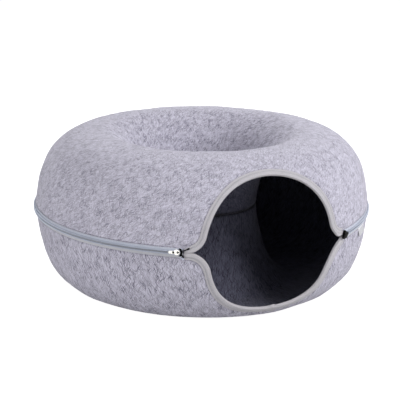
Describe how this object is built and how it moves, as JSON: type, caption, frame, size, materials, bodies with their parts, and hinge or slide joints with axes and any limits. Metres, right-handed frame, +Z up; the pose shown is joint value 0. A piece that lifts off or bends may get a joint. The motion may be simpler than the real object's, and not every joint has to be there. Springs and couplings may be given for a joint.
{
  "type": "felt cat cave",
  "caption": "Ring-shaped felt cat cave in light grey, with a bound opening in its side, a hollow tube inside and a zip round its outer edge.",
  "frame": {"origin": "on the floor, under the middle of the whole; the ring's own upright axis stands 10.5 mm nearer the opening", "axes": "+Z up, -Y out of the opening, +X to the right of someone who looks into the opening"},
  "size_m": [0.5993, 0.5783, 0.273],
  "materials": {
    "felt": "matte",
    "binding": "matte",
    "zip_tape": "matte",
    "coil": "satin",
    "silver": "polished",
    "black": "satin",
    "label": "matte"
  },
  "bodies": {
    "root": {"top_shell": "felt", "bottom_shell": "felt", "top_binding": "binding", "bottom_binding": "binding", "upper_zip_tape": "zip_tape", "lower_zip_tape": "zip_tape", "upper_zip_coil": "coil", "lower_zip_coil": "coil", "zip_slider": "silver", "zip_pull_tab": "silver", "upper_coil_stop": "black", "lower_coil_stop": "black", "zip_retainer_box": "black", "side_label": "label"}
  },
  "joints": []
}
